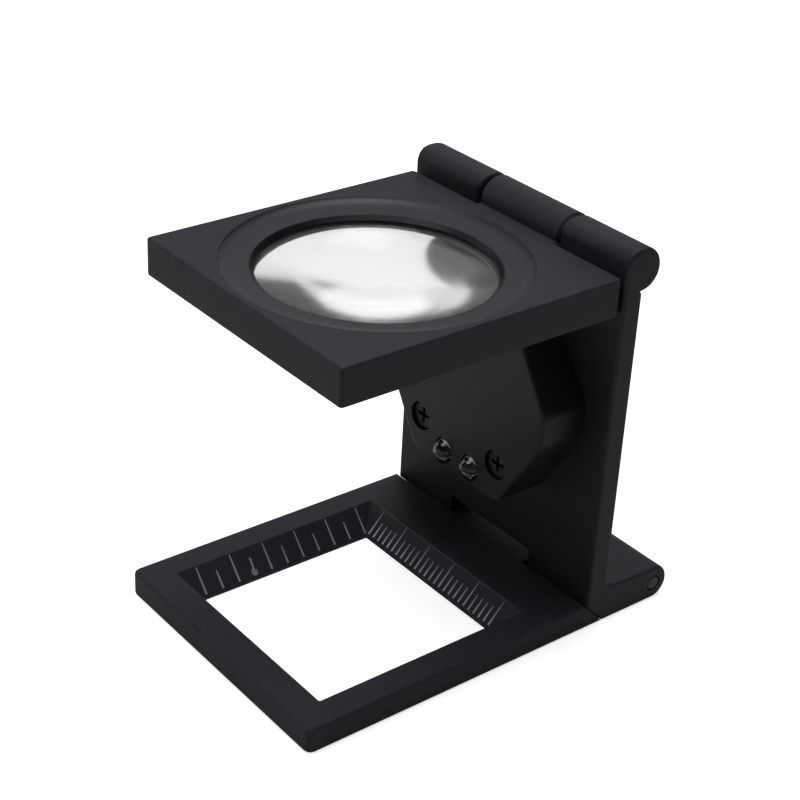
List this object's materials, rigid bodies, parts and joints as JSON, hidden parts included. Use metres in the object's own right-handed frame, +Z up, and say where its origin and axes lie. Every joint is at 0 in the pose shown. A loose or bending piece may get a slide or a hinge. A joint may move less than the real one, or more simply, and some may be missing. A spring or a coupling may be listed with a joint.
{
  "type": "illuminated magnifier",
  "caption": "Folding stand magnifier with a graduated square base, a hinged upright with a small lamp housing, and a hinged square lens plate.",
  "frame": {"origin": "on the ground, under the middle of the part's box", "axes": "+Z up, +Y towards the hinges at the back, -Y towards the front edge of the base, X along the hinges"},
  "size_m": [0.0388, 0.0573, 0.0521],
  "materials": {
    "black_paint": "matte black powder coat",
    "black_plastic": "fine satin",
    "pin_steel": "turned",
    "black_steel": "blackened",
    "cell_steel": "bright",
    "lens_glass": "polished",
    "clear_resin": "clear and glossy",
    "board_green": "lacquered",
    "resistor_beige": "lacquered",
    "contact_brass": "rolled"
  },
  "bodies": {
    "base": {"base_frame": "black_paint"},
    "upright": {"upright_plate": "black_paint", "upper_hinge_pin": "pin_steel", "lower_hinge_pin": "pin_steel", "lamp_cover": "black_plastic", "lamp_back_plate": "black_plastic", "cover_screw_left": "black_steel", "cover_screw_right": "black_steel", "led_left": "clear_resin", "led_right": "clear_resin", "lamp_circuit_board": "board_green", "lamp_resistor": "resistor_beige", "button_cell_left": "cell_steel", "button_cell_middle": "cell_steel", "button_cell_right": "cell_steel", "contact_positive": "contact_brass", "contact_negative": "contact_brass", "contact_bridge_front": "contact_brass", "contact_bridge_rear": "contact_brass", "switch_body": "black_plastic"},
    "lens_plate": {"lens_frame": "black_paint", "lens": "lens_glass", "lens_retaining_ring": "black_steel"},
    "switch": {"switch_knob": "black_plastic"}
  },
  "joints": [
    {"name": "base_hinge", "type": "hinge", "parent": "base", "child": "upright", "pos_m": [0, 0.02625, 0.0024], "axis": [-1, 0, 0], "range_deg": [0, 270]},
    {"name": "lens_hinge", "type": "hinge", "parent": "upright", "child": "lens_plate", "pos_m": [0, 0.01725, 0.0494], "axis": [-1, 0, 0], "range_deg": [0, 270]},
    {"name": "switch_slide", "type": "slide", "parent": "upright", "child": "switch", "axis": [0, 0, 1], "range_m": [0, 0.002]}
  ]
}
